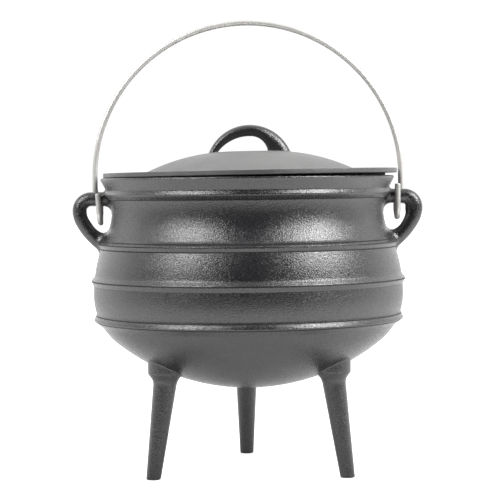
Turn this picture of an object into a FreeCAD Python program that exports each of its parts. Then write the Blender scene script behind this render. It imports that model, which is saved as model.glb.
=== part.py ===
import FreeCAD, Part
import math
import os

import Sketcher

# A round-bellied stew pot of cast iron on three legs, with a loose cast lid and a wire bail.
# Millimetres. The floor is z = 0, the pot's own axis is Z and its two ears lie along X.

SIZES = [
    # Bowl
    ("belly_radius", 137.1, "largest radius of the bowl, outside"),
    ("belly_height", 158.0, "height of that largest radius above the floor"),
    ("bottom_radius", 180.0, "curve of the shallow bottom"),
    ("knuckle_radius", 50.0, "curve between the bottom and the belly"),
    ("neck_inset", 16.3, "how much narrower the neck is than the belly"),
    ("neck_rise", 73.5, "neck above the belly"),
    ("neck_curve", 42.0, "hollow curve of the neck"),
    ("lip_flare", 30.0, "degrees through which the neck curve turns outward under the lip"),
    ("rim_inset", 6.6, "how much narrower the rim is than the belly"),
    ("rim_rise", 30.2, "top of the rim above the neck"),
    ("rim_shoulder", 1.4, "bevel round the outer edge of the rim"),
    ("rim_land", 4.5, "flat width on which the lid sits"),
    ("wall", 5.0, "thickness of the cast wall"),
    # Raised bands, numbered from the rim down
    ("band_tip", 1.6, "radius of every band's crest"),
    ("band_root", 3.0, "depth to which a band runs into the wall"),
    ("band1_above_neck", 15.0, "middle of the band under the lip"),
    ("band1_half", 4.0, "half its height"),
    ("band1_rise", 3.2, "how far it stands out"),
    ("band2_above_belly", 45.3, "middle of the band under the neck"),
    ("band2_half", 4.2, "half its height"),
    ("band2_rise", 3.3, "how far it stands out"),
    ("band3_above_belly", 13.1, "middle of the band above the belly"),
    ("band3_half", 4.4, "half its height"),
    ("band3_rise", 3.1, "how far it stands out"),
    ("band4_below_belly", 22.0, "middle of the band below the belly"),
    ("band4_half", 5.6, "half its height"),
    ("band4_rise", 5.2, "how far it stands out"),
    # Ears
    ("ear_bar", 6.3, "radius of the ear's round bar"),
    ("ear_reach", 28.7, "middle of the bar beyond the neck, where the ear is widest"),
    ("ear_bar_above_neck", 11.8, "middle of the top bar above the neck"),
    ("ear_top_curve", 10.2, "curve at the ear's upper corner"),
    ("ear_side_curve", 21.4, "curve from the side into the slope"),
    ("ear_side_slope", 30.0, "degrees from upright where that curve ends"),
    ("ear_slope_curve", 66.0, "gentle curve of the slope"),
    ("ear_foot_slope", 54.0, "degrees from upright where the slope enters the wall"),
    ("ear_top_lean", 90.0, "degrees from upright of the ear's top bar"),
    ("ear_root_curve", 11.0, "hollow curve where an ear leaves the wall"),
    ("ear_root_flare", 55.0, "degrees through which it opens"),
    ("ear_root_depth", 4.5, "depth to which it runs into the wall"),
    # Legs
    ("leg_splay", 8.6, "degrees that a leg leans out"),
    ("foot_radius", 6.3, "radius of a leg at the floor"),
    ("leg_top_radius", 10.6, "radius of a leg under its collar"),
    ("collar_inset", 53.1, "how much smaller than the belly the circle through the collars is"),
    ("collar_radius", 15.5, "radius of a collar"),
    ("collar_drop", 2.5, "lower edge of a collar below the bowl's underside at its middle"),
    ("collar_bevel", 5.0, "bevel from that edge in to the leg"),
    ("collar_reach", 20.0, "height of a collar above its lower edge, into the wall"),
    ("foot_round", 1.2, "rounding of a foot's edge"),
    ("back_leg_angle", 92.0, "bearing of the back leg, a little off the pot's centre line"),
    ("left_leg_angle", 210.0, "bearing of the front left leg"),
    ("right_leg_angle", 330.0, "bearing of the front right leg"),
    # Lid
    ("lid_inset", 0.1, "how much narrower the lid's flange is than the rim"),
    ("lid_flange", 4.2, "thickness of the flange"),
    ("flange_round", 1.0, "rounding of the flange's edges"),
    ("lid_wall", 4.5, "thickness of the dome"),
    ("dome_rise", 17.3, "top of the dome above the flange"),
    ("dome_flat", 17.7, "radius of the flat middle of the dome"),
    ("dome_curve", 170.0, "curve of the dome"),
    ("dome_foot_curve", 12.0, "hollow curve where the dome runs into the flange"),
    ("lid_play", 4.6, "room between the mouth and the lid's locating ring"),
    ("ring_width", 4.5, "width of the locating ring"),
    ("ring_depth", 4.6, "depth of the locating ring"),
    ("lid_shift", 2.6, "how far the loose lid lies off centre, towards +X"),
    ("lid_tilt", 0.5, "degrees by which the loose lid stands higher on that side"),
    # Lid handle
    ("handle_half_span", 36.0, "half the width of the arch, outside"),
    ("handle_rise", 23.5, "top of the arch above the dome"),
    ("handle_inner_half_span", 28.0, "half the width of the arch, inside"),
    ("handle_thickness", 10.2, "thickness of the arch at its top"),
    ("handle_width", 15.0, "width of the arch, front to back"),
    ("handle_round", 2.7, "rounding of the arch's edges"),
    ("handle_root", 3.5, "depth to which its feet run into the dome"),
    ("gusset_inner", 16.3, "inner side of the thicker right foot, from the lid's axis"),
    ("gusset_curve", 15.5, "hollow curve from the arch into that foot"),
    ("gusset_width", 11.0, "width of the thicker foot, front to back"),
    # Bail
    ("wire_radius", 2.5, "radius of the bail's wire"),
    ("bail_play", 2.0, "room between the lid's edge and the wire of the upright arch"),
    ("bail_shift", 0.6, "how far the loose bail lies off centre, towards +X"),
    ("bail_centre_above_neck", 30.5, "middle of the arch above the neck"),
    ("bail_straight", 9.0, "straight wire below the arch, before the jog"),
    ("left_hook_beyond_neck", 10.7, "middle of the left hook's wire beyond the neck"),
    ("right_hook_beyond_neck", 12.3, "middle of the right hook's wire beyond the neck"),
    ("jog_height", 16.0, "height of the jog from the arch's end to the hook"),
    ("hook_play", 0.35, "room between the wire and the ear's bar"),
    ("left_hook_drop", 12.1, "middle of the left hook's bend below the middle of the bar"),
    ("right_hook_drop", 9.6, "middle of the right hook's bend below the middle of the bar"),
    ("left_tip_height", 5.0, "left end of the wire above the middle of the bar"),
    ("right_tip_height", 10.9, "right end of the wire above the middle of the bar"),
    ("tip_round", 1.0, "rounding of the wire's cut ends"),
]

doc = FreeCAD.newDocument("StewPot")
sheet = doc.addObject("Spreadsheet::Sheet", "dims")
for row, (alias, value, note) in enumerate(SIZES, start=1):
    sheet.set(f"A{row}", str(value))
    sheet.setAlias(f"A{row}", alias)
    sheet.set(f"B{row}", note)
doc.recompute()


class Size:
    """A measure as a number, and as the expression that ties it to the sheet."""

    def __init__(self, number, text):
        self.number = number
        self.text = text

    def combine(self, other, sign, number):
        text = other.text if isinstance(other, Size) else str(other)
        return Size(number, f"({self.text} {sign} {text})")

    def __add__(self, other):
        return self.combine(other, "+", self.number + number_of(other))

    def __sub__(self, other):
        return self.combine(other, "-", self.number - number_of(other))

    def __mul__(self, other):
        return self.combine(other, "*", self.number * number_of(other))

    def __truediv__(self, other):
        return self.combine(other, "/", self.number / number_of(other))


def number_of(measure):
    return measure.number if isinstance(measure, Size) else measure


def size(alias):
    return Size(float(getattr(sheet, alias)), f"dims.{alias}")


def root(measure):
    return Size(math.sqrt(measure.number), f"sqrt({measure.text})")


def sine(angle):
    return Size(math.sin(math.radians(angle.number)), f"sin({angle.text} * 1 deg)")


def cosine(angle):
    return Size(math.cos(math.radians(angle.number)), f"cos({angle.text} * 1 deg)")


ZERO = Size(0.0, "0")

# Bearings run from +X towards +Y. Round shapes are drawn at the front, clear of ears and legs
FRONT = Size(270.0, "270")

# Sketching

def origin_part(body, role):
    return next(part for part in body.Origin.OriginFeatures if part.Role == role)


def new_sketch(body, name, role):
    """A sketch on one of the body's own planes: across, and up along Z where the plane stands."""
    sketch = body.newObject("Sketcher::SketchObject", name)
    sketch.AttachmentSupport = [(origin_part(body, role), "")]
    sketch.MapMode = "FlatFace"
    return sketch


def tie(sketch, kind, place, measure):
    """Add a driving constraint whose value follows the sheet."""
    index = sketch.addConstraint(Sketcher.Constraint(kind, *place, measure.number))
    sketch.setExpression(f"Constraints[{index}]", measure.text)


def tie_point(sketch, geometry, position, point):
    """Hold one point of a sketch at its distances across and up from the origin."""
    for kind, axis, measure in (("DistanceX", -2, point[0]), ("DistanceY", -1, point[1])):
        if measure is ZERO:
            sketch.addConstraint(Sketcher.Constraint("PointOnObject", geometry, position, axis))
        else:
            tie(sketch, kind, (-1, 1, geometry, position), measure)


def vector(point):
    return FreeCAD.Vector(point[0].number, point[1].number, 0)


def arc_angles(centre, start, end, side):
    first, last = (end, start) if side > 0 else (start, end)
    begin = math.atan2(first.y - centre.y, first.x - centre.x)
    finish = math.atan2(last.y - centre.y, last.x - centre.x)
    if finish < begin:
        finish += 2 * math.pi
    return begin, finish


def draw(sketch, corners, closed=True):
    """Draw lines and arcs from corner to corner, each corner held at its place.

    A corner is (across, up), or (across, up, radius, side) where an arc leads on from it.
    """
    count = len(corners) if closed else len(corners) - 1
    ends = []
    for index in range(count):
        start, end = corners[index], corners[(index + 1) % len(corners)]
        if len(start) == 2:
            shape = Part.LineSegment(vector(start), vector(end))
            positions = (1, 2)
        else:
            shape, positions = curved_side(vector(start), vector(end), start[2].number, start[3])
        geometry = sketch.addGeometry(shape, False)
        ends.append((geometry, positions))
        if len(start) == 4:
            tie(sketch, "Radius", (geometry,), start[2])
    for index in range(count if closed else count - 1):
        geometry, positions = ends[index]
        following, following_positions = ends[(index + 1) % count]
        sketch.addConstraint(
            Sketcher.Constraint("Coincident", geometry, positions[1], following, following_positions[0])
        )
    for index, (geometry, positions) in enumerate(ends):
        tie_point(sketch, geometry, positions[0], corners[index])
    if not closed:
        geometry, positions = ends[-1]
        tie_point(sketch, geometry, positions[1], corners[-1])
    return ends


def curved_side(start, end, radius, side):
    """An arc, and which of its two ends is the start."""
    chord = end - start
    left = FreeCAD.Vector(-chord.y, chord.x, 0).normalize()
    reach = math.sqrt(max(radius**2 - (chord.Length / 2) ** 2, 0.0))
    centre = (start + end) * 0.5 - left * side * reach
    circle = Part.Circle(centre, FreeCAD.Vector(0, 0, 1), radius)
    arc = Part.ArcOfCircle(circle, *arc_angles(centre, start, end, side))
    return arc, ((2, 1) if side > 0 else (1, 2))


def revolve(body, kind, name, sketch):
    """Turn a sketch right round its own upright axis, adding or cutting."""
    feature = body.newObject(f"PartDesign::{kind}", name)
    feature.Profile = sketch
    feature.ReferenceAxis = (sketch, ["V_Axis"])
    feature.Angle = 360
    doc.recompute()
    return feature


def new_body(label):
    body = doc.addObject("PartDesign::Body", label)
    body.Label = label
    return body


# Sizes that follow from the driving ones

belly_radius = size("belly_radius")
belly_height = size("belly_height")
bottom_radius = size("bottom_radius")
knuckle_radius = size("knuckle_radius")
neck_inset = size("neck_inset")
neck_rise = size("neck_rise")
neck_curve = size("neck_curve")
wall = size("wall")

neck_radius = belly_radius - neck_inset
neck_height = belly_height + neck_rise
rim_radius = belly_radius - size("rim_inset")
rim_height = neck_height + size("rim_rise")
mouth_radius = rim_radius - size("rim_shoulder") - size("rim_land")

# The belly's upper curve meets the neck's hollow curve without a break, which gives its radius
curves_together = (neck_inset * neck_inset + neck_rise * neck_rise) / (neck_inset * 2)
shoulder_radius = curves_together - neck_curve
knuckle_centre = belly_radius - knuckle_radius
bottom_centre = belly_height + root(
    (bottom_radius - knuckle_radius) * (bottom_radius - knuckle_radius) - knuckle_centre * knuckle_centre
)
neck_centre = neck_radius + neck_curve

bar_height = neck_height + size("ear_bar_above_neck")
bar_radius = size("ear_bar")
wire_radius = size("wire_radius")
lid_radius = rim_radius - size("lid_inset")

# The legs start under the bowl and lean out to the feet
collar_circle = belly_radius - size("collar_inset")
collar_edge = (
    bottom_centre
    - root(bottom_radius * bottom_radius - collar_circle * collar_circle)
    - size("collar_drop")
)
leg_top = collar_edge - size("collar_bevel")
leg_slope = sine(size("leg_splay")) / cosine(size("leg_splay"))
leg_circle = collar_circle + leg_top * leg_slope


def wall_line(depth):
    """One face of the bowl's wall, from the axis up to the lip, as far inside the outer face as depth."""
    bottom = bottom_radius - depth
    knuckle = knuckle_radius - depth
    shoulder = shoulder_radius - depth
    neck = neck_curve + depth
    bottom_share = bottom / (bottom - knuckle)
    neck_share = shoulder / (shoulder + neck)
    flare = size("lip_flare")
    return [
        (ZERO, bottom_centre - bottom, bottom, -1),
        (
            knuckle_centre * bottom_share,
            bottom_centre - (bottom_centre - belly_height) * bottom_share,
            knuckle,
            -1,
        ),
        (belly_radius - depth, belly_height, shoulder, -1),
        (
            belly_radius - shoulder_radius + (neck_centre - belly_radius + shoulder_radius) * neck_share,
            belly_height + neck_rise * neck_share,
            neck,
            1,
        ),
        (neck_centre - neck * cosine(flare), neck_height + neck * sine(flare)),
    ]


def add_band(body, name, circle, height):
    """A raised ring with a rounded crest, both its edges on the wall's own curve."""
    across, up, radius, side = circle
    half, rise = (size(f"{name.lower()}_{part}") for part in ("half", "rise"))
    tip = size("band_tip")
    depth = size("band_root")

    def on_wall(level):
        offset = level - up
        return across + root(radius * radius - offset * offset) * side

    upper = (on_wall(height + half), height + half)
    lower = (on_wall(height - half), height - half)
    crest = ((upper[0] + lower[0]) / 2 + rise - tip, height)
    sketch = radial_sketch(body, f"{name}Outline", FRONT)
    sides = draw(
        sketch,
        [
            lower,
            (lower[0] - depth, lower[1]),
            (upper[0] - depth, upper[1]),
            upper,
        ],
        closed=False,
    )
    circle_shape = Part.Circle(vector(crest), FreeCAD.Vector(0, 0, 1), tip.number)
    arc = sketch.addGeometry(Part.ArcOfCircle(circle_shape, -math.pi / 4, math.pi / 4), False)
    lean = FreeCAD.Vector(math.cos(math.pi / 4), math.sin(math.pi / 4), 0) * tip.number
    lift = FreeCAD.Vector(lean.x, -lean.y, 0)
    top = sketch.addGeometry(Part.LineSegment(vector(upper), vector(crest) + lean), False)
    base = sketch.addGeometry(Part.LineSegment(vector(crest) + lift, vector(lower)), False)
    sketch.addConstraint(Sketcher.Constraint("Coincident", sides[-1][0], 2, top, 1))
    sketch.addConstraint(Sketcher.Constraint("Coincident", base, 2, sides[0][0], 1))
    sketch.addConstraint(Sketcher.Constraint("Tangent", top, 2, arc, 2))
    sketch.addConstraint(Sketcher.Constraint("Tangent", arc, 1, base, 1))
    tie(sketch, "Radius", (arc,), tip)
    tie_point(sketch, arc, 3, crest)
    return revolve(body, "Revolution", name, sketch)


def ear_path():
    """The middle of the ear's bar: out from the wall, round the corner and down the slope."""
    reach = neck_radius + size("ear_reach")
    corner = size("ear_top_curve")
    side = size("ear_side_curve")
    slope = size("ear_slope_curve")
    side_end = size("ear_side_slope")
    slope_end = size("ear_foot_slope")
    side_foot = (
        reach - side + side * cosine(side_end),
        bar_height - corner - side * sine(side_end),
    )
    slope_foot = (
        side_foot[0] - slope * (cosine(side_end) - cosine(slope_end)),
        side_foot[1] - slope * (sine(slope_end) - sine(side_end)),
    )
    return [
        (neck_radius - wall / 2, bar_height),
        (reach - corner, bar_height, corner, 1),
        (reach, bar_height - corner, side, 1),
        (*side_foot, slope, 1),
        slope_foot,
        (slope_foot[0] - wall * sine(slope_end), slope_foot[1] - wall * cosine(slope_end)),
    ]


def add_pipe(body, name, path, section):
    feature = body.newObject("PartDesign::AdditivePipe", name)
    feature.Profile = section
    feature.Spine = (path, [f"Edge{index + 1}" for index in range(path.GeometryCount)])
    doc.recompute()
    return feature


def round_section(body, name, role, offset, middle, radius):
    """A circle on a plane moved along its own normal, with its middle at the given place."""
    section = new_sketch(body, name, role)
    move_along_normal(section, offset)
    circle = section.addGeometry(
        Part.Circle(vector(middle), FreeCAD.Vector(0, 0, 1), radius.number), False
    )
    tie(section, "Radius", (circle,), radius)
    tie_point(section, circle, 3, middle)
    return section


def add_root(body, name, foot, lean):
    """A trumpet round the ear's bar where it leaves the wall; lean is the bar's angle from upright."""
    flare = size("ear_root_flare")
    curve = size("ear_root_curve")
    depth = size("ear_root_depth")
    slope = sine(flare) / cosine(flare)
    length = curve * sine(flare)
    wide = bar_radius + curve - curve * cosine(flare)

    def place(along, away):
        across = foot[0] + along * sine(lean) - away * cosine(lean)
        return across, foot[1] + along * cosine(lean) + away * sine(lean)

    outline = new_sketch(body, f"{name}Outline", "XZ_Plane")
    low, high = place(ZERO - depth, ZERO), place(length, ZERO)
    corners = [
        low,
        high,
        (*place(length, bar_radius), curve, 1),
        place(ZERO, wide),
        place(ZERO - depth, wide + depth * slope),
    ]
    draw(outline, corners)
    return turn_about_first_side(body, name, outline, low, high)


def build_pot():
    body = new_body("pot")
    outside = radial_sketch(body, "BowlOutside", FRONT)
    rim_edge = rim_height - size("rim_shoulder")
    draw(
        outside,
        wall_line(ZERO)
        + [
            (rim_radius, rim_edge),
            (rim_radius - size("rim_shoulder"), rim_height),
            (ZERO, rim_height),
        ],
    )
    revolve(body, "Revolution", "Bowl", outside)

    path = new_sketch(body, "EarPath", "XZ_Plane")
    corners = ear_path()
    draw(path, corners, closed=False)
    section = round_section(body, "EarSection", "YZ_Plane", corners[0][0], (ZERO, bar_height), bar_radius)
    ear = add_pipe(body, "Ear", path, section)
    above = size("ear_bar_above_neck")
    neck_face = neck_centre - root(neck_curve * neck_curve - above * above)
    top_root = add_root(body, "EarTopRoot", (neck_face, bar_height), size("ear_top_lean"))
    foot_root = add_root(body, "EarFootRoot", corners[4], size("ear_foot_slope"))
    other_ear = body.newObject("PartDesign::Mirrored", "OtherEar")
    other_ear.Originals = [ear, top_root, foot_root]
    other_ear.MirrorPlane = (origin_part(body, "YZ_Plane"), [""])
    body.Tip = other_ear
    doc.recompute()

    shoulder = (belly_radius - shoulder_radius, belly_height, shoulder_radius, 1)
    neck = (neck_centre, neck_height, neck_curve, -1)
    knuckle = (knuckle_centre, belly_height, knuckle_radius, 1)
    band_places = [
        ("Band1", neck, neck_height + size("band1_above_neck")),
        ("Band2", shoulder, belly_height + size("band2_above_belly")),
        ("Band3", shoulder, belly_height + size("band3_above_belly")),
        ("Band4", knuckle, belly_height - size("band4_below_belly")),
    ]
    for name, circle, height in band_places:
        add_band(body, name, circle, height)

    for name in ("back", "left", "right"):
        add_leg(body, name.capitalize(), size(f"{name}_leg_angle"))
    trim_feet(body)

    cavity = radial_sketch(body, "BowlInside", FRONT)
    above = rim_height + wall
    draw(cavity, wall_line(wall) + [(mouth_radius, rim_height), (mouth_radius, above), (ZERO, above)])
    revolve(body, "Groove", "Hollow", cavity)
    return body


def add_leg(body, name, bearing):
    """A collar under the bowl, and a round tapered leg that leans out of it."""
    lean = size("leg_splay")
    edge = collar_edge
    bevel = size("collar_bevel")
    middle = collar_circle
    wide = size("collar_radius")
    top = edge + size("collar_reach")
    collar = radial_sketch(body, f"{name}CollarOutline", bearing)
    draw(
        collar,
        [
            (middle, edge - bevel),
            (middle + wide - bevel, edge - bevel),
            (middle + wide, edge),
            (middle + wide, top),
            (middle, top),
        ],
    )
    turn_about_first_side(body, f"{name}Collar", collar, (middle, edge - bevel), (middle, top))

    # The leg's own axis runs from below the floor up into the collar
    below = size("foot_radius")
    taper = (size("leg_top_radius") - size("foot_radius")) / leg_top
    low = (leg_circle + below * leg_slope, ZERO - below)
    high = (leg_circle - edge * leg_slope, edge)
    low_radius = size("foot_radius") - taper * below
    high_radius = size("leg_top_radius") + taper * bevel
    leg = radial_sketch(body, f"{name}LegOutline", bearing)
    draw(
        leg,
        [
            low,
            (low[0] + low_radius * cosine(lean), low[1] + low_radius * sine(lean)),
            (high[0] + high_radius * cosine(lean), high[1] + high_radius * sine(lean)),
            high,
        ],
    )
    turn_about_first_side(body, f"{name}Leg", leg, low, high)


def radial_sketch(body, name, bearing):
    """A sketch on the upright plane through the pot's axis at a bearing: out from the axis, and up."""
    sketch = new_sketch(body, name, "XZ_Plane")
    sketch.AttachmentOffset = FreeCAD.Placement(
        FreeCAD.Vector(), FreeCAD.Rotation(FreeCAD.Vector(0, 1, 0), bearing.number)
    )
    sketch.setExpression(".AttachmentOffset.Rotation.Angle", bearing.text)
    return sketch


def turn_about_first_side(body, name, sketch, low, high):
    """Turn an outline about the line from low to high, which is one of its own sides."""
    axis = sketch.addGeometry(Part.LineSegment(vector(low), vector(high)), True)
    tie_point(sketch, axis, 1, low)
    tie_point(sketch, axis, 2, high)
    feature = body.newObject("PartDesign::Revolution", name)
    feature.Profile = sketch
    feature.ReferenceAxis = (sketch, ["Axis0"])
    feature.Angle = 360
    doc.recompute()
    return feature


def trim_feet(body):
    """Cut the leaning legs off level at the floor and round the feet's edges."""
    floor = new_sketch(body, "Floor", "XY_Plane")
    reach = leg_circle + size("foot_radius") * 4
    circle = floor.addGeometry(Part.Circle(FreeCAD.Vector(), FreeCAD.Vector(0, 0, 1), reach.number), False)
    tie(floor, "Radius", (circle,), reach)
    floor.addConstraint(Sketcher.Constraint("Coincident", circle, 3, -1, 1))
    before = body.Shape.Volume
    trim = body.newObject("PartDesign::Pocket", "FeetLevel")
    trim.Profile = floor
    trim.setExpression("Length", (size("foot_radius") * 4).text)
    trim.Reversed = False
    doc.recompute()
    if not before - 20000 < trim.Shape.Volume < before:
        raise ValueError("the cut that levels the feet points the wrong way")
    edges = [
        f"Edge{index}"
        for index, edge in enumerate(trim.Shape.Edges, start=1)
        if edge.BoundBox.ZMax < 0.001
    ]
    rounding = body.newObject("PartDesign::Fillet", "FeetRounding")
    rounding.Base = (trim, edges)
    rounding.setExpression("Radius", size("foot_round").text)
    doc.recompute()
    return rounding


def build_lid():
    body = new_body("lid")
    flange = size("lid_flange")
    foot = size("dome_foot_curve")
    curve = size("dome_curve")
    flat = size("dome_flat")
    ring = mouth_radius - size("lid_play")
    dome_top = flange + size("dome_rise")

    # The foot's hollow curve touches the flange's top and the dome's curve
    fall = dome_top - curve - flange - foot
    reach = root((curve + foot) * (curve + foot) - fall * fall)
    share = curve / (curve + foot)
    meeting = (flat + reach * share, dome_top - curve - fall * share)
    add_arch(body, dome_top)
    outside = radial_sketch(body, "LidOutside", FRONT)
    draw(
        outside,
        [
            (ZERO, ZERO - size("ring_depth")),
            (ring, ZERO - size("ring_depth")),
            (ring, ZERO),
            (lid_radius, ZERO),
            (lid_radius, flange),
            (flat + reach, flange, foot, 1),
            (*meeting, curve, -1),
            (flat, dome_top),
            (ZERO, dome_top),
        ],
    )
    revolve(body, "Revolution", "LidDisc", outside)
    add_gusset(body, dome_top)

    thickness = size("lid_wall")
    inner_curve = curve - thickness
    inner_ring = ring - size("ring_width")
    inner_top = dome_top - thickness
    inner_fall = inner_top - inner_curve
    inner_reach = root(inner_curve * inner_curve - inner_fall * inner_fall)
    below = ZERO - size("ring_depth") * 2
    inside = radial_sketch(body, "LidInside", FRONT)
    draw(
        inside,
        [
            (ZERO, below),
            (inner_ring, below),
            (inner_ring, ZERO),
            (flat + inner_reach, ZERO, inner_curve, -1),
            (flat, inner_top),
            (ZERO, inner_top),
        ],
    )
    hollow = revolve(body, "Groove", "LidHollow", inside)
    edges = [
        f"Edge{index}"
        for index, edge in enumerate(hollow.Shape.Edges, start=1)
        if edge.BoundBox.XMax > lid_radius.number - 0.01 and edge.BoundBox.ZLength < 0.001
    ]
    rounding = body.newObject("PartDesign::Fillet", "FlangeRounding")
    rounding.Base = (hollow, edges)
    rounding.setExpression("Radius", size("flange_round").text)
    doc.recompute()
    seat_lid(body)
    return body


def arch_curve(half_span, rise):
    """The radius of an arc over a whole span."""
    return (half_span * half_span + rise * rise) / (rise * 2)


def arch_foot(curve, rise):
    """Half the span of that arc at a lower level, with its top at rise above the level."""
    return root(curve * curve - (curve - rise) * (curve - rise))


def add_arch(body, dome_top):
    """The arch of the handle, its edges rounded, with its feet running down into the dome."""
    depth = size("handle_root")
    rise = size("handle_rise")
    inner_rise = rise - size("handle_thickness")
    outer = arch_curve(size("handle_half_span"), rise)
    inner = arch_curve(size("handle_inner_half_span"), inner_rise)
    outer_foot = arch_foot(outer, rise + depth)
    inner_foot = arch_foot(inner, inner_rise + depth)
    low = dome_top - depth
    outline = new_sketch(body, "ArchOutline", "XZ_Plane")
    draw(
        outline,
        [
            (ZERO - outer_foot, low, outer, 1),
            (ZERO, dome_top + rise, outer, 1),
            (outer_foot, low),
            (inner_foot, low, inner, -1),
            (ZERO, dome_top + inner_rise, inner, -1),
            (ZERO - inner_foot, low),
        ],
    )
    pad = add_pad(body, "Arch", outline, size("handle_width"))
    edges = [
        f"Edge{index}"
        for index, edge in enumerate(pad.Shape.Edges, start=1)
        if edge.BoundBox.ZLength > depth.number and edge.BoundBox.YLength < 0.001
    ]
    rounding = body.newObject("PartDesign::Fillet", "ArchRounding")
    rounding.Base = (pad, edges)
    rounding.setExpression("Radius", size("handle_round").text)
    doc.recompute()


def add_gusset(body, dome_top):
    """The thicker foot on one side of the handle."""
    side = size("gusset_inner")
    curve = size("gusset_curve")
    inner_rise = size("handle_rise") - size("handle_thickness")
    outer_side = size("handle_inner_half_span") + size("handle_round")
    low = dome_top - size("handle_root")
    shoulder = dome_top + inner_rise + size("handle_thickness") / 4
    outline = new_sketch(body, "GussetOutline", "XZ_Plane")
    draw(
        outline,
        [
            (side, low),
            (side, shoulder - curve, curve, -1),
            (side - curve, shoulder),
            (side, shoulder),
            (outer_side, dome_top + size("handle_round")),
            (outer_side, low),
        ],
    )
    add_pad(body, "Gusset", outline, size("gusset_width"))


def add_pad(body, name, sketch, width):
    pad = body.newObject("PartDesign::Pad", name)
    pad.Profile = sketch
    pad.setExpression("Length", width.text)
    pad.Midplane = True
    doc.recompute()
    return pad


def seat_lid(body):
    """Lay the lid on the rim: off centre, and tilted about the point of the rim where it rests."""
    tilt = size("lid_tilt")
    shift = size("lid_shift")
    rest = rim_radius - size("rim_shoulder")
    body.Placement = FreeCAD.Placement(
        FreeCAD.Vector(), FreeCAD.Rotation(FreeCAD.Vector(0, 1, 0), -tilt.number)
    )
    body.setExpression(".Placement.Rotation.Angle", f"0 - {tilt.text}")
    body.setExpression(".Placement.Base.x", shift.text)
    body.setExpression(".Placement.Base.z", (rim_height + (rest + shift) * sine(tilt)).text)


def build_bail():
    """One wire: an arch behind the ears' bars, a small jog inwards, and a hook round each bar."""
    body = new_body("bail")
    centre = neck_height + size("bail_centre_above_neck")
    shift = size("bail_shift")
    arch = lid_radius + size("lid_shift") - shift + size("bail_play") + wire_radius
    behind = bar_radius + size("hook_play") + wire_radius
    left = bail_end("left", centre, shift - arch, -1)
    right = bail_end("right", centre, shift + arch, 1)

    path = new_sketch(body, "ArchPath", "XZ_Plane")
    move_along_normal(path, ZERO - behind)
    draw(
        path,
        [
            *left,
            (shift - arch, centre, arch, 1),
            (shift, centre + arch, arch, 1),
            (shift + arch, centre),
            *arcs_turned_round(right),
        ],
        closed=False,
    )
    sections = {
        name: round_section(body, f"{name}Section", "XY_Plane", low[1], (low[0], behind), wire_radius)
        for name, low in (("Left", left[0]), ("Right", right[0]))
    }
    add_pipe(body, "ArchWire", path, sections["Left"])

    for name, low in (("Left", left[0]), ("Right", right[0])):
        bend = body.newObject("PartDesign::Revolution", f"{name}Hook")
        bend.Profile = sections[name]
        bend.ReferenceAxis = (sections[name], ["H_Axis"])
        bend.Angle = 180
        bend.Reversed = True
        doc.recompute()
        end = round_section(
            body, f"{name}EndSection", "XY_Plane", low[1], (low[0], ZERO - behind), wire_radius
        )
        straight = body.newObject("PartDesign::Pad", f"{name}End")
        straight.Profile = end
        rise = size(f"{name.lower()}_hook_drop") + size(f"{name.lower()}_tip_height")
        straight.setExpression("Length", rise.text)
        doc.recompute()
    round_tips(body)
    return body


def bail_end(name, centre, across, side):
    """The wire from the top of one hook up to the foot of the arch, which stands at across."""
    hook = (neck_radius + size(f"{name}_hook_beyond_neck")) * side
    inset = (across - hook) * side
    jog_height = size("jog_height")
    jog_top = centre - size("bail_straight")
    jog_foot = jog_top - jog_height
    jog_curve = (inset * inset + jog_height * jog_height) / (inset * 4)
    return [
        (hook, bar_height - size(f"{name}_hook_drop")),
        (hook, jog_foot, jog_curve, side),
        ((across + hook) / 2, jog_top - jog_height / 2, jog_curve, -side),
        (across, jog_top),
    ]


def arcs_turned_round(corners):
    """The same corners met from the other end; each arc leads on from its other corner."""
    turned = []
    for index in range(len(corners) - 1, -1, -1):
        arc = corners[index - 1][2:] if index else ()
        turned.append((*corners[index][:2], *((arc[0], -arc[1]) if arc else ())))
    return turned


def move_along_normal(sketch, distance):
    """Move a sketch off its plane; the distance follows the sheet."""
    sketch.AttachmentOffset = FreeCAD.Placement(
        FreeCAD.Vector(0, 0, distance.number), FreeCAD.Rotation()
    )
    sketch.setExpression(".AttachmentOffset.Base.z", distance.text)


def round_tips(body):
    """Round the wire's two cut ends, in front of the bars."""
    wire = body.Tip
    edges = []
    for index, edge in enumerate(wire.Shape.Edges, start=1):
        box = edge.BoundBox
        level = box.ZLength < 0.001
        in_front = box.YMax < 0
        if level and in_front and box.ZMin > bar_height.number:
            edges.append(f"Edge{index}")
    rounding = body.newObject("PartDesign::Fillet", "TipRounding")
    rounding.Base = (wire, edges)
    rounding.setExpression("Radius", size("tip_round").text)
    doc.recompute()


pot = build_pot()
lid = build_lid()
bail = build_bail()
doc.recompute()

broken = [item.Name for item in doc.Objects if "Invalid" in item.State or "Error" in item.State]
if broken:
    raise ValueError(f"these features failed: {broken}")
for body in (pot, lid, bail):
    shape = body.Shape
    if shape.isNull() or not shape.isValid() or len(shape.Solids) != 1:
        raise ValueError(f"{body.Label} is not one sound solid")

os.makedirs("parts", exist_ok=True)
for body in (pot, lid, bail):
    body.Shape.exportStep(f"parts/{body.Label}.step")
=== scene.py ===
"""A round-bellied cast iron stew pot with a loose lid and a wire bail, on a white studio floor."""

import math

import bpy
import numpy as np
from mathutils import Matrix, Vector


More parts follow.
